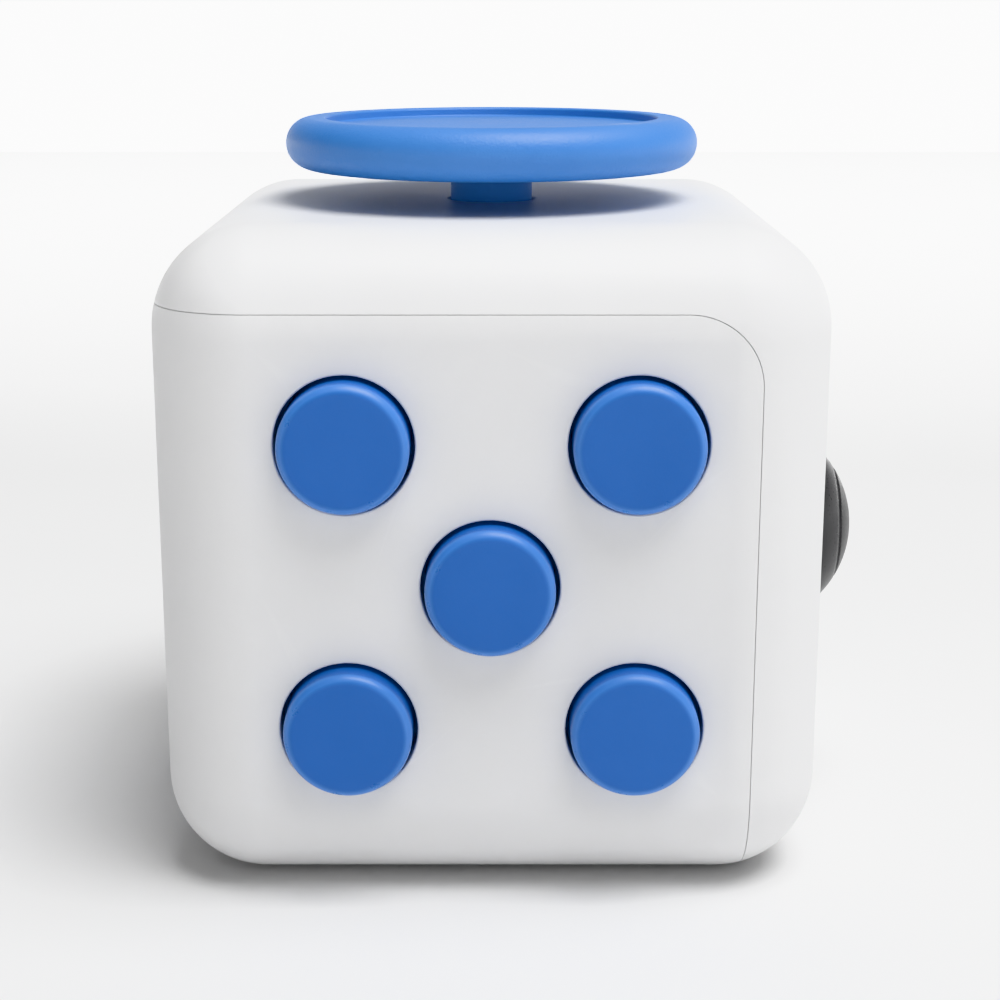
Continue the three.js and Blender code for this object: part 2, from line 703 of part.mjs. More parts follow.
function glideTray() {
  const floor = rod(7, GLIDE_PLATE_X, GLIDE_PLATE_X + FACE_PLATE, "x", 32);
  const armOutline = rectangle(2.2, GLIDE_BOSS_PITCH * Math.SQRT2 + 2, 2.1);
  const arm = slab(armOutline, GLIDE_PLATE_X, GLIDE_PLATE_X + FACE_PLATE, "x");
  let tray = join(floor, arm.rotate([-45, 0, 0]));
  tray = join(tray, slab(rectangle(5.4, 5.1), GLIDE_PLATE_X + 0.5, 12.7, "x"));
  tray = cut(tray, slab(rectangle(3.4 + STICK_TRAVEL + 0.1, 4.1), 11.35, 13, "x"));
  tray = cut(tray, slab(rectangle(3.9, 3.9, 1.2), GLIDE_PLATE_X - 1, 12, "x"));
  for (const side of [-1, 1]) {
    const hole = rod(BOSS_HOLE_R, GLIDE_PLATE_X - 1, GLIDE_PLATE_X + 2, "x", 10);
    tray = cut(tray, hole.translate([0, side * GLIDE_BOSS_PITCH, side * GLIDE_BOSS_PITCH]));
  }
  return tray;
}

// A soft ring round the peg that pulls the stick back to the middle.
function centringRing() {
  return turned(
    [
      [STICK_PEG_R + 0.08, 12.8],
      [3, 12.8],
      [3.6, 13],
      [5.6, 12.8],
      [5.6, 13.2],
      [3.6, 13.35],
      [STICK_PEG_R + 0.08, 13.15],
      [STICK_PEG_R + 0.08, 12.8],
    ],
    "x",
    20,
  );
}

function retainingClip() {
  const ring = cut(rod(2.4, 10.8, 11.3, "x"), rod(STICK_PEG_R + 0.08, 10, 12, "x"));
  return cut(ring, slab(moved(rectangle(0.5, 1.5), 0, -2.4), 10, 12, "x"));
}

add("glide_stick", atStick(stickCap()), DARK_RUBBER);
add("glide_carriage", atStick(glideCarriage()), INNER_PLASTIC);
add("glide_tray", atStick(glideTray()), INNER_PLASTIC);
add("glide_centring_ring", atStick(centringRing()), SILICONE);
add("glide_retaining_clip", atStick(retainingClip()), SPRING_STEEL);
for (const [place, side] of [["front", -1], ["rear", 1]]) {
  const shape = atStick(screw("x", GLIDE_PLATE_X - SEAT_GAP, 1));
  add("glide_screw_" + place, shape.translate([0, side * GLIDE_BOSS_PITCH, side * GLIDE_BOSS_PITCH]), STEEL);
}

// ---------- spin face ----------

function spinDisc() {
  const rimCentre = DISC_UNDERSIDE + DISC_RIM_R;
  const top = rimCentre + DISC_RIM_R;
  const rimSteps = 6;
  const rim = Array.from({ length: rimSteps + 1 }, (unused, step) => {
    const angle = -Math.PI / 2 + (step / rimSteps) * Math.PI;
    return [DISC_R - DISC_RIM_R + DISC_RIM_R * Math.cos(angle), rimCentre + DISC_RIM_R * Math.sin(angle)];
  });
  const disc = turned(
    [
      [0, SPIN_STEP],
      [SPIN_SHAFT_R, SPIN_STEP],
      [SPIN_SHAFT_R, DISC_UNDERSIDE],
      ...rim,
      [DISC_RECESS_R + 0.2, top - 0.12],
      [DISC_RECESS_R, top - DISC_RECESS],
      [0, top - DISC_RECESS],
    ],
    "z",
    36,
  );
  const drive = rod(1.5, 27.2, SPIN_STEP + 0.5, "z", 6);
  return cut(join(disc, drive), rod(SCREW_R + 0.1, 26, 30.2, "z", 12));
}

function detentWheel() {
  const lobes = 8;
  const outline = wavyOutline(lobes * 5, (angle) => DETENT_WHEEL_R - 0.3 * Math.cos(lobes * angle));
  return cut(slab(outline, 27.5, SPIN_STEP - 0.1, "z"), rod(1.6, 27, 30, "z", 6));
}

// A leaf whose bump clicks over the wheel's lobes.
function spinSpring() {
  const line = [
    [-8.7, SPIN_LEAF_Y],
    [-4.6, SPIN_LEAF_Y],
    [-1, -5],
    [-0.25, -4.2],
    [0.25, -4.2],
    [1, -5],
    [4.6, SPIN_LEAF_Y + 0.1],
  ];
  return slab(stripOutline(line, 0.3), 27.6, 29, "z");
}

add("spin_disc", spinDisc(), BLUE_PLASTIC);
add("spin_detent_wheel", detentWheel(), INNER_PLASTIC);
add("spin_detent_spring", spinSpring(), SPRING_STEEL);
add("spin_washer", cut(rod(2.6, 26.7, 27.1, "z"), rod(BOSS_HOLE_R, 26, 28, "z", 12)), STEEL);
add("spin_screw", screw("z", 26.65, 1), STEEL);

export default group;
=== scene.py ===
"""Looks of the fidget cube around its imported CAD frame.

The moulded shell halves, buttons, disc, stick, rocker, gears and ball are rebuilt here with
softened edges. The mechanism inside keeps its CAD shapes and gets finished materials.
Shapes are made in millimetres and scaled to metres when a piece is placed.
"""

import math

import bmesh
import bpy
from mathutils import Matrix, Vector


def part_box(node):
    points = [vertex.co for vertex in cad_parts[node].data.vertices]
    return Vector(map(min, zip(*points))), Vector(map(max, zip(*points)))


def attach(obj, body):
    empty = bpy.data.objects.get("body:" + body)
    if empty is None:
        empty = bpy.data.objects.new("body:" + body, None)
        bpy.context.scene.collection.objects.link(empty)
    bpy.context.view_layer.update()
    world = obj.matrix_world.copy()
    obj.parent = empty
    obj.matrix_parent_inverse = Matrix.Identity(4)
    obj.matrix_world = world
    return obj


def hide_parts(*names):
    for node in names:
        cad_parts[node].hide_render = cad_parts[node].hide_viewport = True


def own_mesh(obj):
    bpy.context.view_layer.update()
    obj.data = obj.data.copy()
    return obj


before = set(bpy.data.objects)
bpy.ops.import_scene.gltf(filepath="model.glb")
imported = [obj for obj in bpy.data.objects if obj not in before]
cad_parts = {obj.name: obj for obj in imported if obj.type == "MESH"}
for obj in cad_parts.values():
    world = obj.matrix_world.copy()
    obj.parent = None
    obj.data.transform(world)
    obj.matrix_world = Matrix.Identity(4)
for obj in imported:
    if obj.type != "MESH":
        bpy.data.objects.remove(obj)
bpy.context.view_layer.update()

MM = 0.001

# ---------- sizes, in millimetres ----------

BODY = 33.0
HALF = BODY / 2
EDGE_ROUND = 5.1
WALL = 2.0
INSIDE = HALF - WALL
SEAM_INSET = 3.8
SEAM_ROUND = 3.5
SEAM_GAP = 0.022
SEAM_LAND = 0.02
LIP_REACH = 0.9
LIP_CLEARANCE = 0.1
ORIGIN_SHIFT = -0.8

CLICK_Z = 16.01
BUTTON_R = 3.12
BUTTON_HOLE_R = 3.34
BUTTON_EDGE = 0.5
BUTTON_FLANGE = 0.75
BUTTON_PEG_R = 1.2
BUTTON_PEG_Y = 12.2
HOLE_EDGE = 0.1
BOSS_R = 1.6
BOSS_HOLE_R = 0.95
DOME_SEAT = -11.02
BALL_SPRING_SEAT = 6.5
SHAFT_CLEARANCE = 0.13
SLEEVE_WALL = 1.2
SPIN_LEAF_Y = -5.6

# How deep, from its face, each face's screw bosses stand in, and where they are
CLICK_BOSS_PITCH, CLICK_BOSS_TIP = 10.4, 11.25
FLIP_BOSS_PITCH, FLIP_BOSS_TIP = 9.3, 9.95
ROLL_SCREW_X, ROLL_SCREW_Z, ROLL_BOSS_TIP = 6.2, 9.5, 8.45
GLIDE_BOSS_PITCH, GLIDE_BOSS_TIP = 8.3, 11.25

ROCKER_TILT = math.radians(14)
ROCKER_HALF_WIDTH = 3.3
ROCKER_TIP = 3.6
ROCKER_END_R = 5.1
ROCKER_FLUSH = -0.1
ROCKER_PIVOT_X = -13.7

AXLE = Vector((0, 13.5, 20.5))
AXLE_R = 0.75
GEAR_R = 4.6
GEAR_TEETH = 15
GEAR_HALF_WIDTH = 1.4
GEAR_PITCH = 4.4
BALL_R = 3.4
BALL_AT = Vector((0, 14.7, 10.8))

STICK_Z = 15.0
STICK_DOME_R = 5.74
STICK_DOME_X = 14.2
STICK_GROOVE = 0.98
STICK_NECK_R = 5.2
STICK_SKIRT_R = 8.55
STICK_PEG_R = 1.5
STICK_OPENING_R = 6.9

DISC_R = 10.92
DISC_RIM_R = 1.32
DISC_UNDERSIDE = 34.66
DISC_TOP = 37.3
SPIN_SHAFT_R = 2.17
SPIN_STEP = 29.3

DISH = (10.7, 8.3, 5.0)
DISH_DEPTH = 2.3

# Light: surround strengths by height and side, and lamp powers in watts
SKY_LOW = 1.55
SKY_HIGH = 0.485
SKY_BAND = 0.35
SKY_LEAN = 0.15
SKY_SIDES = 0.41
SURROUND = 2.4
KEY_POWER = 3.5
BACKDROP_POWER = 6.0


# ---------- mesh helpers ----------


def mesh_of(verts, faces):
    """A closed mesh with its faces turned outwards."""
    mesh = bpy.data.meshes.new("shape")
    mesh.from_pydata([tuple(v) for v in verts], [], faces)
    tidy(mesh)
    return mesh


def tidy(mesh, merge=1e-5):
    bm = bmesh.new()
    bm.from_mesh(mesh)
    bmesh.ops.remove_doubles(bm, verts=bm.verts, dist=merge)
    bmesh.ops.recalc_face_normals(bm, faces=bm.faces)
    bm.to_mesh(mesh)
    bm.free()


def placed(mesh, matrix):
    mesh.transform(matrix)
    if matrix.determinant() < 0:
        mesh.flip_normals()
    return mesh


def basis(x, y, z, origin):
    """The matrix that takes local axes to x, y, z and the local origin to origin."""
    rows = [[x[i], y[i], z[i], origin[i]] for i in range(3)]
    return Matrix([*rows, [0, 0, 0, 1]])


# Face frames: local z points out of the cube and is 0 on the face; local y points up.
FACES = {
    "front": basis((1, 0, 0), (0, 0, 1), (0, -1, 0), (0, -HALF, HALF)),
    "back": basis((-1, 0, 0), (0, 0, 1), (0, 1, 0), (0, HALF, HALF)),
    "right": basis((0, 1, 0), (0, 0, 1), (1, 0, 0), (HALF, 0, HALF)),
    "left": basis((0, -1, 0), (0, 0, 1), (-1, 0, 0), (-HALF, 0, HALF)),
    "top": basis((1, 0, 0), (0, 1, 0), (0, 0, 1), (0, 0, BODY)),
    "base": basis((1, 0, 0), (0, -1, 0), (0, 0, -1), (0, 0, 0)),
}
ALONG_X = basis((0, 1, 0), (0, 0, 1), (1, 0, 0), (0, 0, 0))
ALONG_Y = basis((-1, 0, 0), (0, 0, 1), (0, 1, 0), (0, 0, 0))


def on_face(face, across=0.0, up=0.0):
    return FACES[face] @ Matrix.Translation((across, up, 0))


def turned(profile, matrix=None, segments=96):
    """A solid of revolution about local z, from [radius, height] pairs."""
    verts, rings = [], []
    for radius, height in profile:
        if radius < 1e-6:
            rings.append([len(verts)])
            verts.append((0, 0, height))
            continue
        rings.append(list(range(len(verts), len(verts) + segments)))
        for step in range(segments):
            angle = 2 * math.pi * step / segments
            verts.append((radius * math.cos(angle), radius * math.sin(angle), height))
    faces = []
    for low, high in zip(rings, rings[1:]):
        if len(low) == 1 and len(high) == 1:
            continue
        for step in range(segments):
            after = (step + 1) % segments
            corners = [
                low[step % len(low)],
                low[after % len(low)],
                high[after % len(high)],
                high[step % len(high)],
            ]
            faces.append(list(dict.fromkeys(corners)))
    for ring in (rings[0], rings[-1]):
        if len(ring) > 1:
            faces.append(list(ring))
    mesh = mesh_of(verts, faces)
    return placed(mesh, matrix) if matrix else mesh


def loft(rings, matrix=None):
    """A solid through outlines of equal count, given as ([(across, up), ...], level)."""
    count = len(rings[0][0])
    verts = [(a, b, level) for outline, level in rings for a, b in outline]
    faces = []
    for ring in range(len(rings) - 1):
        for step in range(count):
            after = (step + 1) % count
            low, high = ring * count, (ring + 1) * count
            faces.append([low + step, low + after, high + after, high + step])
    faces.append(list(range(count)))
    faces.append(list(range((len(rings) - 1) * count, len(rings) * count)))
    mesh = mesh_of(verts, faces)
    return placed(mesh, matrix) if matrix else mesh


def rod(radius, low, high, matrix=None, segments=48):
    return turned([[0, low], [radius, low], [radius, high], [0, high]], matrix, segments)


def block(low, high):
    outline = [(low[0], low[1]), (high[0], low[1]), (high[0], high[1]), (low[0], high[1])]
    return loft([(outline, low[2]), (outline, high[2])])


def rounded_cube(half, radius, steps, centre=(0, 0, HALF), flats=4):
    """A cube with round edges and corners, in quads that follow the curves."""
    flat = half - radius
    turn = [flat + radius * math.tan(math.pi / 4 * (step / steps)) for step in range(steps + 1)]
    middle = [flat * (2 * k / flats - 1) for k in range(1, flats)]
    line = [-t for t in reversed(turn)] + middle + turn
    verts, faces = [], []
    for axis in range(3):
        for side in (-1, 1):
            base = len(verts)
            for u in line:
                for v in line:
                    point = [0, 0, 0]
                    point[axis] = side * half
                    point[(axis + 1) % 3] = u
                    point[(axis + 2) % 3] = v
                    core = Vector([max(-flat, min(flat, c)) for c in point])
                    out = (Vector(point) - core).normalized()
                    verts.append(core + out * radius + Vector(centre))
            n = len(line)
            for i in range(n - 1):
                for j in range(n - 1):
                    a = base + i * n + j
                    faces.append([a, a + 1, a + n + 1, a + n])
    return mesh_of(verts, faces)


def rectangle(half_across, half_up, corner, steps=8):
    points = []
    for quarter, (sx, sy) in enumerate([(1, 1), (-1, 1), (-1, -1), (1, -1)]):
        for step in range(steps + 1):
            angle = (quarter + step / steps) * math.pi / 2
            points.append(
                (
                    sx * (half_across - corner) + corner * math.cos(angle),
                    sy * (half_up - corner) + corner * math.sin(angle),
                )
            )
    return points


def flare(edge, steps=6, last=80):
    """(outward growth, height) pairs of a hole's softened lip, from its wall to past its face."""
    pairs = []
    for step in range(steps + 1):
        angle = math.radians(last * step / steps)
        pairs.append((edge * (1 - math.cos(angle)), edge * (math.sin(angle) - 1)))
    angle = math.radians(last)
    rise = 0.3 * edge
    grow, height = pairs[-1]
    pairs.append((grow + rise * math.tan(angle), height + rise))
    pairs.append((grow + rise * math.tan(angle), 1.0))
    return pairs


def round_cutter(radius, edge, depth, matrix, segments=96):
    profile = [[0, -depth], [radius, -depth]]
    profile += [[radius + grow, height] for grow, height in flare(edge)]
    profile.append([0, profile[-1][1]])
    return turned(profile, matrix, segments)


def slot_cutter(half_across, half_up, corner, edge, depth, matrix):
    rings = [(rectangle(half_across, half_up, corner), -depth)]
    for grow, height in flare(edge):
        rings.append((rectangle(half_across + grow, half_up + grow, corner + grow), height))
    return loft(rings, matrix)


def boolean(mesh, tool, operation):
    """mesh joined with, cut by or limited to tool, as a new mesh. Both inputs are used up."""
    holders = []
    for data in (mesh, tool):
        holder = bpy.data.objects.new("holder", data)
        bpy.context.scene.collection.objects.link(holder)
        holders.append(holder)
    modifier = holders[0].modifiers.new("boolean", "BOOLEAN")
    modifier.operation = operation
    modifier.solver = "MANIFOLD"
    modifier.object = holders[1]
    graph = bpy.context.evaluated_depsgraph_get()
    result = bpy.data.meshes.new_from_object(holders[0].evaluated_get(graph))
    for holder in holders:
        bpy.data.objects.remove(holder)
    bpy.data.meshes.remove(mesh)
    bpy.data.meshes.remove(tool)
    if not result.polygons:
        raise RuntimeError("a boolean step left nothing")
    return result


def join(mesh, *tools):
    for tool in tools:
        mesh = boolean(mesh, tool, "UNION")
    return mesh


def cut(mesh, *tools):
    for tool in tools:
        mesh = boolean(mesh, tool, "DIFFERENCE")
    return mesh


def common(mesh, tool):
    return boolean(mesh, tool, "INTERSECT")


# ---------- materials ----------


class Nodes:
    """A short way to write a material's node tree."""

    def __init__(self, name):
        self.material = bpy.data.materials.new(name)
        self.material.use_nodes = True
        self.tree = self.material.node_tree
        self.shader = self.tree.nodes["Principled BSDF"]
        self.place = self.add("ShaderNodeTexCoord").outputs["Object"]

    def add(self, kind, **settings):
        node = self.tree.nodes.new(kind)
        for key, value in settings.items():
            setattr(node, key, value)
        return node

    def feed(self, socket, value):
        if isinstance(value, bpy.types.NodeSocket):
            self.tree.links.new(value, socket)
        else:
            socket.default_value = value

    def noise(self, size_mm, detail=2.0, roughness=0.5, stretch=None):
        """Noise whose features are about size_mm across."""
        node = self.add("ShaderNodeTexNoise")
        place = self.place
        if stretch:
            mapping = self.add("ShaderNodeMapping")
            self.feed(mapping.inputs["Vector"], self.place)
            mapping.inputs["Scale"].default_value = stretch
            place = mapping.outputs["Vector"]
        self.feed(node.inputs["Vector"], place)
        node.inputs["Scale"].default_value = 1.0 / (size_mm * MM)
        node.inputs["Detail"].default_value = detail
        node.inputs["Roughness"].default_value = roughness
        return node.outputs["Fac"]

    def across(self):
        apart = self.add("ShaderNodeSeparateXYZ")
        self.feed(apart.inputs[0], self.place)
        return apart.outputs["X"]

    def cap_rim_highlight_mask(self):
        """1 where the surface turns away from Y, 0 on flat faces and straight sides: the mask of a
        cap's painted rim highlight.
        """
        apart = self.add("ShaderNodeSeparateXYZ")
        self.feed(apart.inputs[0], self.add("ShaderNodeTexCoord").outputs["Normal"])
        facing = self.math("ABSOLUTE", apart.outputs["Y"], 0.0)
        turned_away = self.ranged(facing, 1.0, 0.0, (0.86, 0.995))
        return self.math("MULTIPLY", turned_away, self.ranged(facing, 0.0, 1.0, (0.1, 0.4)))

    def ranged(self, value, low, high, source=(0.3, 0.7)):
        node = self.add("ShaderNodeMapRange")
        self.feed(node.inputs["Value"], value)
        node.inputs["From Min"].default_value = source[0]
        node.inputs["From Max"].default_value = source[1]
        node.inputs["To Min"].default_value = low
        node.inputs["To Max"].default_value = high
        return node.outputs["Result"]

    def math(self, operation, a, b):
        node = self.add("ShaderNodeMath", operation=operation)
        self.feed(node.inputs[0], a)
        self.feed(node.inputs[1], b)
        return node.outputs[0]

    def mix(self, share, a, b):
        node = self.add("ShaderNodeMix", data_type="RGBA")
        self.feed(node.inputs["Factor"], share)
        self.feed(node.inputs[6], a)
        self.feed(node.inputs[7], b)
        return node.outputs[2]

    def edges(self, low=0.505, high=0.56):
        """1 on outward edges, 0 elsewhere."""
        geometry = self.add("ShaderNodeNewGeometry")
        return self.ranged(geometry.outputs["Pointiness"], 0.0, 1.0, (low, high))

    def bump(self, height, depth_mm, strength=1.0, under=None):
        node = self.add("ShaderNodeBump")
        node.inputs["Strength"].default_value = strength
        node.inputs["Distance"].default_value = depth_mm * MM
        self.feed(node.inputs["Height"], height)
        if under is not None:
            self.feed(node.inputs["Normal"], under)
        return node.outputs["Normal"]

    def done(self, colour, roughness, normal, **sockets):
        self.feed(self.shader.inputs["Base Color"], colour)
        self.feed(self.shader.inputs["Roughness"], roughness)
        self.feed(self.shader.inputs["Normal"], normal)
        for name, value in sockets.items():
            self.shader.inputs[name.replace("_", " ")].default_value = value
        return self.material


def moulded(
    name, pale, deep, worn_and_highlight, rough, grain_mm, grain_depth, wear=0.25, pad=None, rim=0, **sockets
):
    """Injection-moulded plastic: faint flow marks, a spark-eroded grain, edges rubbed smoother.

    The pad pair (position along X in mm, colour) paints the plastic beyond that position in that
    darker colour: a painted shade.
    rim is how much paler the rounded edge of a cap that faces along Y is painted: a painted
    highlight.
    """
    n = Nodes(name)
    flow = n.noise(9.0, 3.0, 0.55, (1.0, 1.0, 0.6))
    speck = n.noise(0.35, 2.0)
    grain = n.noise(grain_mm, 3.0, 0.6)
    rub = n.math("MULTIPLY", n.edges(), n.ranged(n.noise(1.6, 4.0, 0.65), 0.55, 1.0))
    tone = n.mix(n.ranged(flow, 0.0, 1.0, (0.35, 0.65)), deep, pale)
    tone = n.mix(n.ranged(speck, 0.0, 0.12), tone, deep)
    # Painted shade: past the groove along X, the stick's outer pad is painted darker.
    if pad:
        start = (pad[0] + ORIGIN_SHIFT) * MM
        tone = n.mix(n.ranged(n.across(), 0.0, 1.0, (start, start + 0.05 * MM)), tone, pad[1])
    colour = n.mix(n.math("MULTIPLY", rub, wear), tone, worn_and_highlight)
    # Painted highlight: the rounded rim of a cap is painted paler.
    if rim:
        colour = n.mix(n.math("MULTIPLY", n.cap_rim_highlight_mask(), rim), colour, worn_and_highlight)
    base = n.ranged(flow, rough[0], rough[1])
    fine = n.math("ADD", base, n.ranged(grain, -0.05, 0.05))
    roughness = n.math("SUBTRACT", fine, n.math("MULTIPLY", rub, 0.12))
    normal = n.bump(grain, grain_depth, 0.6, n.bump(flow, 0.02, 0.25))
    return n.done(colour, roughness, normal, **sockets)


def brushed(name, pale, deep, rough, stretch, depth, metallic=1.0):
    """Drawn or turned metal: fine lines, a little staining, brighter rubbed edges."""
    n = Nodes(name)
    lines = n.noise(0.12, 3.0, 0.6, stretch)
    stain = n.noise(2.2, 4.0, 0.6)
    tone = n.mix(n.ranged(stain, 0.0, 1.0), deep, pale)
    colour = n.mix(n.math("MULTIPLY", n.edges(), 0.5), tone, pale)
    roughness = n.math("ADD", n.ranged(stain, rough[0], rough[1]), n.ranged(lines, -0.05, 0.07))
    return n.done(colour, roughness, n.bump(lines, depth, 0.5), Metallic=metallic)


WHITE = moulded(
    "white_moulded_shell",
    (0.78, 0.78, 0.785, 1),
    (0.755, 0.755, 0.76, 1),
    (0.8, 0.8, 0.8, 1),
    (0.4, 0.46),
    0.16,
    0.004,
    0.4,
    Specular_IOR_Level=0.4,
)
BLUE = moulded(
    "blue_moulded_plastic",
    (0.032, 0.148, 0.5, 1),
    (0.027, 0.137, 0.47, 1),
    (0.12, 0.3, 0.72, 1),
    (0.34, 0.42),
    0.11,
    0.006,
    0.12,
    Specular_IOR_Level=0.5,
)
CAP_BLUE = moulded(
    "blue_cap_plastic",
    (0.032, 0.148, 0.5, 1),
    (0.027, 0.137, 0.47, 1),
    # This paler colour serves only the painted rim highlight, since wear is 0.
    (0.13, 0.33, 0.78, 1),
    (0.34, 0.42),
    0.11,
    0.006,
    wear=0.0,
    # Painted highlight on the caps' rounded rims.
    rim=0.48,
    Specular_IOR_Level=0.5,
)
# The disc's blue is a paler copy of the caps' blue: painted light standing for the stronger light on
# the disc. Its coarser grain is real.
DISC_BLUE_PAINTED_LIT = moulded(
    "blue_grained_plastic",
    (0.082, 0.255, 0.65, 1),
    (0.068, 0.23, 0.61, 1),
    (0.12, 0.3, 0.72, 1),
    (0.42, 0.5),
    0.13,
    0.03,
    0.1,
    Specular_IOR_Level=0.55,
)
DARK = moulded(
    "dark_satin_stick",
    (0.05, 0.05, 0.052, 1),
    (0.04, 0.04, 0.042, 1),
    (0.1, 0.1, 0.102, 1),
    (0.28, 0.36),
    0.14,
    0.003,
    0.05,
    # Painted shade: the stick's outer pad past its groove, in a darker colour.
    (STICK_DOME_X + STICK_DOME_R * math.sin(STICK_GROOVE), (0.027, 0.027, 0.028, 1)),
    Specular_IOR_Level=0.4,
)
INNER = moulded(
    "inner_plastic",
    (0.58, 0.6, 0.63, 1),
    (0.53, 0.55, 0.58, 1),
    (0.66, 0.67, 0.69, 1),
    (0.5, 0.6),
    0.2,
    0.01,
)
SILICONE = moulded(
    "silicone",
    (0.72, 0.74, 0.76, 1),
    (0.66, 0.68, 0.7, 1),
    (0.76, 0.78, 0.8, 1),
    (0.62, 0.74),
    0.25,
    0.006,
    Subsurface_Weight=0.15,
    Subsurface_Scale=0.0006,
)
STEEL = brushed(
    "plated_steel", (0.62, 0.63, 0.65, 1), (0.5, 0.51, 0.53, 1), (0.2, 0.32), (1, 1, 6), 0.003
)
BALL_STEEL = brushed(
    "polished_steel", (0.74, 0.75, 0.77, 1), (0.66, 0.67, 0.69, 1), (0.06, 0.12), (1, 3, 3), 0.0006
)
SPRING = brushed(
    "spring_steel", (0.5, 0.52, 0.55, 1), (0.36, 0.38, 0.42, 1), (0.26, 0.38), (4, 1, 1), 0.003
)


# ---------- placing pieces ----------


def piece(name, mesh, material, body, node, sharp=40):
    """A finished piece that stands for a CAD node and rides on its body."""
    mesh.name = name
    mesh.transform(Matrix.Scale(MM, 4) @ Matrix.Translation((ORIGIN_SHIFT, 0, 0)))
    for polygon in mesh.polygons:
        polygon.use_smooth = True
    mesh.set_sharp_from_angle(angle=math.radians(sharp))
    mesh.materials.clear()
    mesh.materials.append(material)
    made = bpy.data.objects.new(name, mesh)
    bpy.context.scene.collection.objects.link(made)
    weighted = made.modifiers.new("even_normals", "WEIGHTED_NORMAL")
    weighted.keep_sharp = True
    weighted.weight = 80
    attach(made, body)
    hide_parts(node)
    return made


def centre_of(node):
    low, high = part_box(node)
    return (low + high) / (2 * MM) - Vector((ORIGIN_SHIFT, 0, 0))


# ---------- shell halves ----------

FACE_PATTERN = {
    "upper_left": (-1, 1),
    "upper_right": (1, 1),
    "centre": (0, 0),
    "lower_left": (-1, -1),
    "lower_right": (1, -1),
}
BUTTON_AT = {name: centre_of("click_button_" + name) for name in FACE_PATTERN}


def outer_skin(inset=0.0):
    return rounded_cube(HALF - inset, EDGE_ROUND - inset, 10)


def inner_skin():
    return rounded_cube(INSIDE, EDGE_ROUND - WALL, 5)


def seam_side(margin):
    """Everything left of, before and below the seam, grown by a margin."""
    half = 30 + margin
    shift = HALF - SEAM_INSET + margin - half
    return rounded_cube(half, SEAM_ROUND + margin, 8, (shift, shift, shift + HALF), 1)


def lip_skin(clearance):
    half = HALF - WALL / 2 + clearance
    return rounded_cube(half, EDGE_ROUND - WALL / 2 + clearance, 6)


def boss(face, across, up, tip, hole=True):
    """A screw boss (or its hole) that stands in from a face's inner side to depth tip."""
    matrix = on_face(face, across, up)
    if hole:
        return rod(BOSS_HOLE_R, -tip - 1, -WALL - 0.4, matrix, 24)
    return rod(BOSS_R, -tip, -WALL + 0.5, matrix, 32)


def dish_cutter():
    """The thumb dish, with a soft rim where it meets the base."""
    half_x, half_y, half_z = DISH
    sunk = half_z - DISH_DEPTH
    rim = math.sqrt(1 - (sunk / half_z) ** 2)
    inner, outer = rim - 0.09, rim + 0.07
    wall = [(k / 14 * inner, sunk - half_z * math.sqrt(1 - (k / 14 * inner) ** 2)) for k in range(15)]
    start, middle, end = Vector(wall[-1]), Vector((rim, 0)), Vector((outer, 0.01))
    blend = []
    for step in range(1, 9):
        t = step / 8
        point = start * (1 - t) ** 2 + middle * 2 * t * (1 - t) + end * t**2
        blend.append((point.x, point.y))
    profile = [[r, z] for r, z in wall + blend]
    profile += [[outer, 1.0], [0, 1.0]]
    matrix = FACES["base"] @ Matrix.Diagonal((half_x, half_y, 1, 1))
    return turned(profile, matrix, 120)


def dish_backing():
    half_x, half_y, half_z = (h + WALL * 0.9 for h in DISH)
    profile = [[0, -1]]
    for step in range(25):
        angle = -math.pi / 2 + math.pi * step / 24
        profile.append([math.cos(angle), math.sin(angle)])
    matrix = FACES["base"] @ Matrix.Translation((0, 0, DISH[2] - DISH_DEPTH))
    shape = turned(profile[1:], matrix @ Matrix.Diagonal((half_x, half_y, half_z, 1)), 64)
    return common(shape, block((-INSIDE, -INSIDE, WALL / 2), (INSIDE, INSIDE, HALF)))


def front_half():
    deep = cut(outer_skin(SEAM_LAND), inner_skin())
    deep = common(deep, seam_side(-SEAM_GAP / 2))
    face_side = common(cut(outer_skin(), inner_skin()), seam_side(-SEAM_GAP / 2 - SEAM_LAND))
    lip = common(cut(lip_skin(0), inner_skin()), seam_side(LIP_REACH))
    shell = join(face_side, deep, lip)
    shell = cut(join(shell, dish_backing()), dish_cutter())
    pitch = CLICK_BOSS_PITCH
    for across, up in ((-pitch, 0), (pitch, 0), (0, -pitch), (0, pitch)):
        at = ("front", across, up + CLICK_Z - HALF, HALF - CLICK_BOSS_TIP)
        shell = cut(join(shell, boss(*at, hole=False)), boss(*at))
    for up in (-FLIP_BOSS_PITCH, FLIP_BOSS_PITCH):
        at = ("left", 0, up, HALF - FLIP_BOSS_TIP)
        shell = cut(join(shell, boss(*at, hole=False)), boss(*at))
    for at in BUTTON_AT.values():
        matrix = on_face("front", at.x, at.z - HALF)
        shell = cut(shell, round_cutter(BUTTON_HOLE_R, HOLE_EDGE, WALL + 1, matrix))
    opening = (ROCKER_HALF_WIDTH + 0.2, ROCKER_END_R + 0.15, 0.8, 0.18, WALL + 1)
    return cut(shell, slot_cutter(*opening, FACES["left"]))


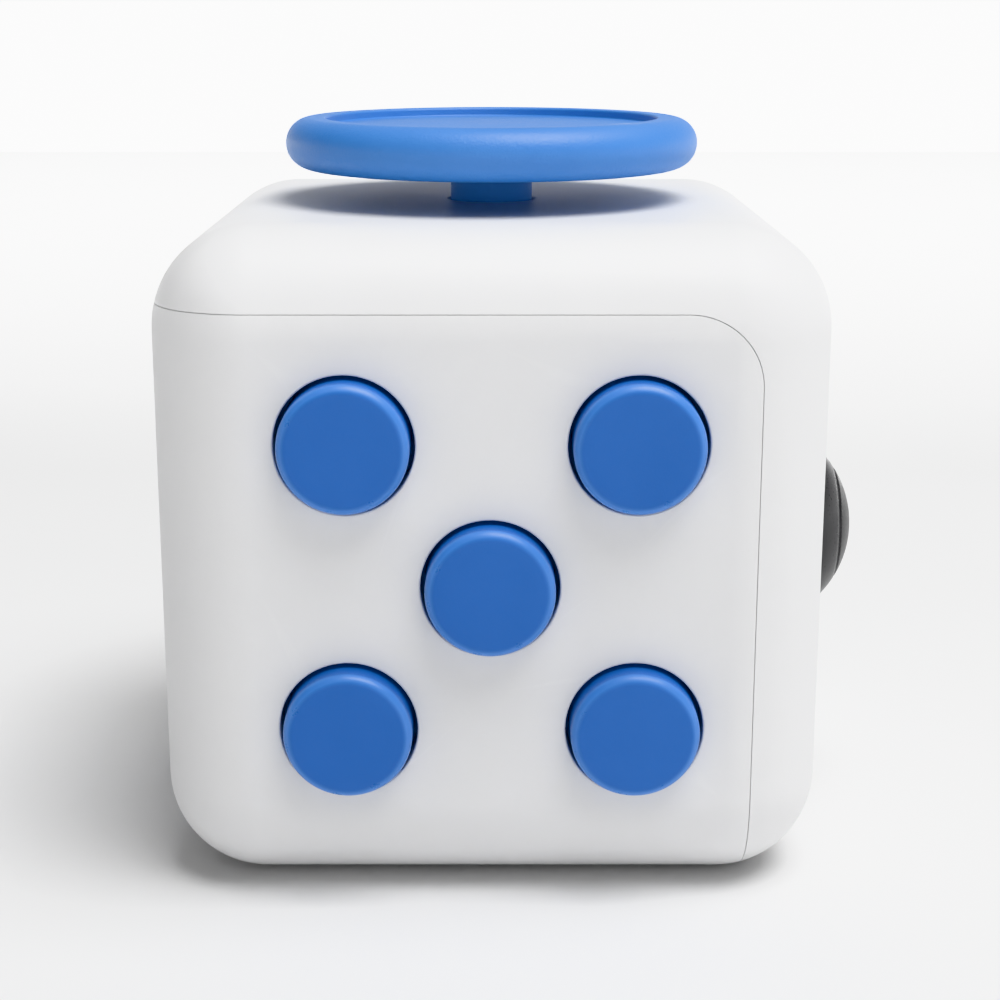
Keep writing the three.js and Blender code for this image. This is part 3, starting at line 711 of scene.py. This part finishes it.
def back_half():
    deep = cut(outer_skin(SEAM_LAND), inner_skin(), seam_side(SEAM_GAP / 2))
    face_side = cut(outer_skin(), inner_skin(), seam_side(SEAM_GAP / 2 + SEAM_LAND))
    shell = join(face_side, deep)
    groove = common(lip_skin(LIP_CLEARANCE), seam_side(LIP_REACH + LIP_CLEARANCE))
    shell = cut(shell, groove)
    for side in (-1, 0, 1):
        across = side * GEAR_PITCH
        half_slot = GEAR_HALF_WIDTH + 0.25
        middle = Matrix.Translation((across, AXLE.y, AXLE.z)) @ ALONG_X
        shell = cut(shell, rod(GEAR_R + 0.3, -half_slot, half_slot, middle, 96))
        half_up = math.sqrt((GEAR_R + 0.3) ** 2 - (HALF - AXLE.y) ** 2)
        lips = (half_slot, half_up, 0.05, 0.22, 0.4)
        shell = cut(shell, slot_cutter(*lips, on_face("back", -across, AXLE.z - HALF)))
    seat_r = BALL_R + 0.25
    profile = [[seat_r * math.cos(a), seat_r * math.sin(a)] for a in half_turn(40)]
    shell = cut(shell, turned(profile, Matrix.Translation(BALL_AT) @ ALONG_Y))
    mouth = math.sqrt(seat_r**2 - (HALF - BALL_AT.y) ** 2)
    shell = cut(shell, round_cutter(mouth, 0.15, 0.3, on_face("back", 0, BALL_AT.z - HALF)))
    for across in (-ROLL_SCREW_X, ROLL_SCREW_X):
        at = ("back", across, ROLL_SCREW_Z - HALF, HALF - ROLL_BOSS_TIP)
        shell = cut(join(shell, boss(*at, hole=False)), boss(*at))
    opening = on_face("right", 0, STICK_Z - HALF)
    shell = cut(shell, round_cutter(STICK_OPENING_R, 0.25, WALL + 1, opening, 128))
    for side in (-1, 1):
        across = side * GLIDE_BOSS_PITCH
        at = ("right", across, STICK_Z - HALF + across, HALF - GLIDE_BOSS_TIP)
        shell = cut(join(shell, boss(*at, hole=False)), boss(*at))
    shell = join(shell, rod(SPIN_SHAFT_R + SLEEVE_WALL, SPIN_STEP + 0.2, INSIDE + HALF + 0.5))
    shaft_depth = BODY - SPIN_STEP + 1
    bore = SPIN_SHAFT_R + SHAFT_CLEARANCE
    shell = cut(shell, round_cutter(bore, 0.15, shaft_depth, FACES["top"], 64))
    for side in (-1, 1):
        y = SPIN_LEAF_Y + side * 0.65
        shell = join(shell, block((-8.8, y - 0.4, 27.4), (-6.6, y + 0.4, INSIDE + HALF + 0.5)))
    return shell


def half_turn(steps):
    return [-math.pi / 2 + math.pi * k / steps for k in range(steps + 1)]


piece("front_left_base_half", front_half(), WHITE, "shell", "front_left_base_shell")
piece("top_right_back_half", back_half(), WHITE, "shell", "top_right_back_shell")


# ---------- front: push buttons ----------


def arc(centre, radius, first, last, steps):
    """Points on an arc, angles in degrees."""
    points = []
    for step in range(steps + 1):
        angle = math.radians(first + (last - first) * step / steps)
        points.append([centre[0] + radius * math.cos(angle), centre[1] + radius * math.sin(angle)])
    return points


def push_button(proud):
    """Profile heights are measured out from the shell's face."""
    rim = BUTTON_R - BUTTON_EDGE
    crown = [[rim * k / 6, proud - 0.02 * (k / 6) ** 2] for k in range(7)]
    edge = arc((rim, proud - 0.02 - BUTTON_EDGE), BUTTON_EDGE, 90, 0, 10)[1:]
    flange = BUTTON_R + BUTTON_FLANGE
    inner = [
        [BUTTON_R, -WALL - 0.05],
        [BUTTON_R + 0.05, -WALL - 0.15],
        [flange - 0.1, -WALL - 0.15],
        [flange, -WALL - 0.25],
        [flange, -WALL - 0.85],
        [flange - 0.1, -WALL - 0.95],
        [BUTTON_PEG_R + 0.1, -WALL - 0.95],
        [BUTTON_PEG_R, -WALL - 1.05],
        [BUTTON_PEG_R, BUTTON_PEG_Y + 0.1 - HALF],
        [BUTTON_PEG_R - 0.1, BUTTON_PEG_Y - HALF],
        [0, BUTTON_PEG_Y - HALF],
    ]
    return crown + edge + inner


for name, at in BUTTON_AT.items():
    proud = -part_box("click_button_" + name)[0].y / MM - HALF
    mesh = turned(push_button(proud), on_face("front", at.x, at.z - HALF), 128)
    piece("button_" + name, mesh, CAP_BLUE, "button_" + name, "click_button_" + name)


# ---------- top: spin disc ----------


def spin_disc():
    rim_at = (DISC_R - DISC_RIM_R, DISC_UNDERSIDE + DISC_RIM_R)
    recess_r, recess = 8.78, 0.45
    profile = [[0, SPIN_STEP], [SPIN_SHAFT_R - 0.1, SPIN_STEP], [SPIN_SHAFT_R, SPIN_STEP + 0.1]]
    profile += [[SPIN_SHAFT_R, DISC_UNDERSIDE - 0.3]]
    profile += arc((SPIN_SHAFT_R + 0.3, DISC_UNDERSIDE - 0.3), 0.3, 180, 90, 5)[1:]
    profile += [[SPIN_SHAFT_R + 3, DISC_UNDERSIDE]]
    profile += arc(rim_at, DISC_RIM_R, -90, 90, 28)
    profile += [[rim_at[0] - 0.1, DISC_TOP - 0.01]]
    lip = arc((recess_r + 0.14, DISC_TOP - 0.15), 0.14, 82, 180, 6)
    profile += lip
    profile += arc((lip[-1][0] - 0.1, DISC_TOP - recess + 0.08), 0.08, 0, -90, 4)
    floor = profile[-1][0]
    profile += [[floor * k / 5, DISC_TOP - recess] for k in (4, 3, 2, 1, 0)]
    disc = turned(profile, None, 160)
    drive = rod(1.5, 27.2, SPIN_STEP + 0.5, None, 6)
    return cut(join(disc, drive), rod(0.9, 26, 30.2, None, 32))


piece("spin_disc_cap", spin_disc(), DISC_BLUE_PAINTED_LIT, "spinner", "spin_disc")


# ---------- right: thumb stick ----------


def thumb_stick():
    lip, groove, top = 0.39, STICK_GROOVE, math.pi / 2

    def on_dome(angle, depth=0.0):
        radius = STICK_DOME_R - depth
        return [radius * math.cos(angle), STICK_DOME_X + radius * math.sin(angle)]

    lower = [lip + (groove - 0.025 - lip) * k / 14 for k in range(15)]
    upper = [groove + 0.025 + (top - groove - 0.025) * k / 20 for k in range(21)]
    ring = [(-0.018, 0.025), (-0.01, 0.07), (0, 0.09), (0.01, 0.07), (0.018, 0.025)]
    profile = [
        [0, 10.4],
        [STICK_PEG_R - 0.2, 10.4],
        [STICK_PEG_R, 10.6],
        [STICK_PEG_R, 13.45],
        [STICK_SKIRT_R - 0.1, 13.45],
        [STICK_SKIRT_R, 13.55],
        [STICK_SKIRT_R, 14.1],
        [STICK_SKIRT_R - 0.1, 14.2],
        [STICK_NECK_R + 0.25, 14.2],
        [STICK_NECK_R + 0.07, 14.27],
        [STICK_NECK_R, 14.45],
        [STICK_NECK_R, 16.25],
        *[on_dome(angle) for angle in lower],
        *[on_dome(groove + turn, depth) for turn, depth in ring],
        *[on_dome(angle) for angle in upper],
    ]
    return turned(profile, Matrix.Translation((0, 0, STICK_Z)) @ ALONG_X, 144)


def centring_ring():
    """Drawn wide enough for the peg to travel inside it."""
    profile = [
        [0, 12.85],
        [5.5, 12.85],
        [5.6, 12.95],
        [5.6, 13.1],
        [5.5, 13.2],
        [3.4, 13.3],
        [0, 13.3],
    ]
    ring = turned(profile, Matrix.Translation((0, 0, STICK_Z)) @ ALONG_X)
    return cut(ring, rod(3.0, 12, 14, Matrix.Translation((0, 0, STICK_Z)) @ ALONG_X, 64))


piece("thumb_stick", thumb_stick(), DARK, "stick", "glide_stick")
piece("centring_ring", centring_ring(), SILICONE, "shell", "glide_centring_ring")


# ---------- left: flip rocker ----------


def filleted(outline, radii, steps=5):
    """The closed outline with each corner rounded by about its radius."""
    points = []
    for index, corner in enumerate(outline):
        here = Vector(corner)
        before = Vector(outline[index - 1]) - here
        after = Vector(outline[(index + 1) % len(outline)]) - here
        reach = min(radii[index], before.length * 0.45, after.length * 0.45)
        if reach < 0.02:
            points.append(tuple(here))
            continue
        start, end = here + before.normalized() * reach, here + after.normalized() * reach
        for step in range(steps + 1):
            t = step / steps
            points.append(tuple(start * (1 - t) ** 2 + here * 2 * t * (1 - t) + end * t**2))
    return points


def rocker():
    dip = (ROCKER_PIVOT_X + HALF + ROCKER_FLUSH) / math.cos(ROCKER_TILT)
    tip_out = dip + ROCKER_TIP * math.tan(ROCKER_TILT)
    top_angle = math.atan2(tip_out, ROCKER_TIP)
    half = [((-tip_out + 0.02, ROCKER_TIP - 0.1), 0.7)]
    for share in (0.75, 0.5, 0.25):
        angle = top_angle * share
        half.append(
            ((-ROCKER_END_R * math.sin(angle), ROCKER_END_R * math.cos(angle)), 0.6)
        )
    half += [
        ((-0.45, ROCKER_END_R - 0.25), 0.6),
        ((-1.55, ROCKER_END_R - 1.4), 0.4),
        ((-1.5, 1.9), 0.5),
        ((0.4, 1.5), 0.4),
    ]
    half += [((1.5, 0.9), 0.4), ((2.5, 0.3), 0.2)]
    upper = [((-dip, 0), 2.2), *half]
    lower = [((depth, -height), radius) for (depth, height), radius in reversed(half)]
    outline = filleted([p for p, r in upper + lower], [r for p, r in upper + lower])
    mesh = loft([(outline, -ROCKER_HALF_WIDTH), (outline, ROCKER_HALF_WIDTH)])
    bm = bmesh.new()
    bm.from_mesh(mesh)
    rims = [e for e in bm.edges if abs(e.verts[0].co.z - e.verts[1].co.z) < 1e-6]
    bmesh.ops.bevel(bm, geom=rims, offset=0.3, segments=4, profile=0.5, affect="EDGES")
    bm.to_mesh(mesh)
    bm.free()
    sideways = basis((1, 0, 0), (0, 0, 1), (0, -1, 0), (0, 0, 0))
    placed(mesh, sideways)
    bore = rod(0.76, -5, 5, ALONG_Y, 48)
    turn = Matrix.Translation((ROCKER_PIVOT_X, 0, HALF)) @ Matrix.Rotation(ROCKER_TILT, 4, "Y")
    return placed(cut(mesh, bore), turn)


piece("flip_rocker_cap", rocker(), BLUE, "rocker", "flip_rocker")


# ---------- back: thumb gears and ball ----------


def thumb_gear():
    """Blunt round-cornered teeth, softened rims and a bored hub."""
    samples = GEAR_TEETH * 16

    def outline(inset):
        points = []
        for step in range(samples):
            angle = 2 * math.pi * step / samples
            wave = math.sin(GEAR_TEETH * angle)
            height = 0.5 + 0.5 * math.tanh(2.6 * wave) / math.tanh(2.6)
            radius = GEAR_R - 0.55 * (1 - height) - inset
            points.append((radius * math.cos(angle), radius * math.sin(angle)))
        return points

    edge = 0.3
    quarter = [math.pi / 2 * k / 5 for k in range(6)]
    low = [(edge * (1 - math.sin(a)), -GEAR_HALF_WIDTH + edge * (1 - math.cos(a))) for a in quarter]
    high = [(inset, -level) for inset, level in reversed(low)]
    wheel = loft([(outline(inset), level) for inset, level in low + high])
    return cut(wheel, rod(AXLE_R + 0.06, -3, 3, None, 48))


for name, side in (("left", -1), ("middle", 0), ("right", 1)):
    at = Matrix.Translation((side * GEAR_PITCH, AXLE.y, AXLE.z)) @ ALONG_X
    mesh = placed(thumb_gear(), at)
    piece("thumb_gear_" + name, mesh, BLUE, "gear_" + name, "roll_gear_" + name)

ball = [[BALL_R * math.cos(a), BALL_R * math.sin(a)] for a in half_turn(60)]
ball_mesh = turned(ball, Matrix.Translation(BALL_AT) @ ALONG_X, 120)
piece("steel_ball", ball_mesh, BALL_STEEL, "ball", "roll_ball")


# ---------- the mechanism inside ----------


def smooth_group():
    """Shades smooth except across edges sharper than its angle."""
    group = bpy.data.node_groups.new("smooth_by_angle", "GeometryNodeTree")
    group.interface.new_socket("Geometry", in_out="INPUT", socket_type="NodeSocketGeometry")
    group.interface.new_socket("Geometry", in_out="OUTPUT", socket_type="NodeSocketGeometry")
    start, end = group.nodes.new("NodeGroupInput"), group.nodes.new("NodeGroupOutput")
    faces = group.nodes.new("GeometryNodeSetShadeSmooth")
    edges = group.nodes.new("GeometryNodeSetShadeSmooth")
    edges.domain = "EDGE"
    edges.inputs["Shade Smooth"].default_value = False
    angle = group.nodes.new("GeometryNodeInputMeshEdgeAngle")
    wide = group.nodes.new("FunctionNodeCompare")
    wide.operation = "GREATER_THAN"
    wide.inputs["B"].default_value = math.radians(46)
    link = group.links.new
    link(start.outputs[0], faces.inputs["Geometry"])
    link(faces.outputs[0], edges.inputs["Geometry"])
    link(angle.outputs["Unsigned Angle"], wide.inputs["A"])
    link(wide.outputs[0], edges.inputs["Selection"])
    link(edges.outputs[0], end.inputs[0])
    return group


SMOOTH = smooth_group()
INNER_LOOKS = {
    "snap_dome": (SPRING, "spring_steel"),
    "silent_pad": (SILICONE, "silicone"),
    "click_plate": (INNER, "inner_plastic"),
    "click_screw": (STEEL, "steel"),
    "flip_bracket": (INNER, "inner_plastic"),
    "flip_pivot_pin": (STEEL, "steel"),
    "flip_spring": (SPRING, "spring_steel"),
    "flip_screw": (STEEL, "steel"),
    "roll_axle": (STEEL, "steel"),
    "ball_spring": (SPRING, "spring_steel"),
    "ball_cup": (INNER, "inner_plastic"),
    "roll_bracket": (INNER, "inner_plastic"),
    "roll_screw": (STEEL, "steel"),
    "glide_tray": (INNER, "inner_plastic"),
    "glide_carriage": (INNER, "inner_plastic"),
    "glide_retaining_clip": (SPRING, "spring_steel"),
    "glide_screw": (STEEL, "steel"),
    "spin_detent_wheel": (INNER, "inner_plastic"),
    "spin_detent_spring": (SPRING, "spring_steel"),
    "spin_washer": (STEEL, "steel"),
    "spin_screw": (STEEL, "steel"),
}

# Springy pieces: the joint that presses each one flat, its fixed end along Y, and the share
# of its depth that is left at the end of the stroke.
PRESSED = {"ball_spring": ("ball_press", BALL_SPRING_SEAT, 0.72)}
for name in FACE_PATTERN:
    for kind in ("snap_dome_", "silent_pad_"):
        PRESSED[kind + name] = ("click_" + name, DOME_SEAT, 0.15)


def pressed_copy(name, node):
    """A copy that stands for a springy node and rides on the shell."""
    made = bpy.data.objects.new(name + "_spring", node.data.copy())
    bpy.context.scene.collection.objects.link(made)
    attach(made, "shell")
    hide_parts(name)
    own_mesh(made)
    return made


for name, node in list(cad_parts.items()):
    found = [look for start, look in INNER_LOOKS.items() if name.startswith(start)]
    if not found:
        continue
    material, slot_name = found[0]
    shown = pressed_copy(name, node) if name in PRESSED else node
    shown.data.materials.clear()
    shown.data.materials.append(material)
    weld = shown.modifiers.new("weld", "WELD")
    weld.merge_threshold = 1e-6
    soften = shown.modifiers.new("soften", "BEVEL")
    soften.width = 0.06 * MM
    soften.segments = 2
    soften.limit_method = "ANGLE"
    soften.angle_limit = math.radians(50)
    soften.use_clamp_overlap = True
    smooth = shown.modifiers.new("smooth", "NODES")
    smooth.node_group = SMOOTH


# ---------- floor, light and camera ----------


def floor(reach=0.48):
    mesh = bpy.data.meshes.new("floor")
    corners = [(-reach, -reach, 0), (reach, -reach, 0), (reach, reach, 0), (-reach, reach, 0)]
    mesh.from_pydata(corners, [], [(0, 1, 2, 3)])
    n = Nodes("floor_paper")
    tone = n.mix(n.ranged(n.noise(60.0, 2.0), 0.0, 1.0), (0.8, 0.8, 0.8, 1), (0.83, 0.83, 0.83, 1))
    paper = n.bump(n.noise(0.8, 3.0), 0.02, 0.3)
    mesh.materials.append(n.done(tone, n.ranged(n.noise(5.0), 0.75, 0.85), paper))
    made = bpy.data.objects.new("floor", mesh)
    bpy.context.scene.collection.objects.link(made)


def soft_light(name, at, aim, size, power):
    lamp = bpy.data.lights.new(name, "AREA")
    lamp.shape = "DISK"
    lamp.size = size
    lamp.energy = power
    made = bpy.data.objects.new(name, lamp)
    made.location = at
    made.rotation_mode = "QUATERNION"
    made.rotation_quaternion = (Vector(aim) - Vector(at)).to_track_quat("-Z", "Y")
    bpy.context.scene.collection.objects.link(made)


def studio():
    """White surround, brighter low down and dimmer to the sides, and two soft lights."""
    world = bpy.data.worlds.new("studio")
    world.use_nodes = True
    tree = world.node_tree
    sky = tree.nodes["Background"]
    sky.inputs["Color"].default_value = (1, 1, 1, 1)
    apart = tree.nodes.new("ShaderNodeSeparateXYZ")
    tree.links.new(tree.nodes.new("ShaderNodeTexCoord").outputs["Generated"], apart.inputs[0])
    across, height = apart.outputs["X"], apart.outputs["Z"]

    def step(operation, *values):
        node = tree.nodes.new("ShaderNodeMath")
        node.operation = operation
        for socket, value in zip(node.inputs, values):
            if isinstance(value, bpy.types.NodeSocket):
                tree.links.new(value, socket)
            else:
                socket.default_value = value
        return node.outputs[0]

    climb = tree.nodes.new("ShaderNodeMapRange")
    climb.interpolation_type = "SMOOTHSTEP"
    tree.links.new(height, climb.inputs["Value"])
    climb.inputs["From Max"].default_value = SKY_BAND
    climb.inputs["To Min"].default_value = SKY_LOW
    climb.inputs["To Max"].default_value = SKY_HIGH
    lean = step("MULTIPLY_ADD", across, SKY_LEAN, climb.outputs[0])
    dimmed = step("MULTIPLY_ADD", step("ABSOLUTE", across), -SKY_SIDES, lean)
    surround = step("MULTIPLY", step("LESS_THAN", height, 0.0), SURROUND)
    tree.links.new(step("MAXIMUM", dimmed, surround), sky.inputs["Strength"])
    bpy.context.scene.world = world
    soft_light("overhead", (0.15, -0.09, 0.54), (0, 0, 0.02), 0.42, KEY_POWER)
    soft_light("backdrop", (0, 0.3, 0.45), (0, 1.3, -0.05), 0.6, BACKDROP_POWER)
    bpy.context.scene.view_settings.view_transform = "Khronos PBR Neutral"


def camera():
    lens = bpy.data.cameras.new("camera")
    lens.sensor_width = 36
    lens.lens = 70.467
    lens.shift_x = 0.0085
    made = bpy.data.objects.new("camera", lens)
    made.location = (ORIGIN_SHIFT * MM, -105.88 * MM, 43.245 * MM)
    made.rotation_euler = (math.radians(90 - 14.307), 0, 0)
    bpy.context.scene.collection.objects.link(made)
    lens.clip_start, lens.clip_end = 0.005, 50
    bpy.context.scene.camera = made


floor()
studio()
camera()
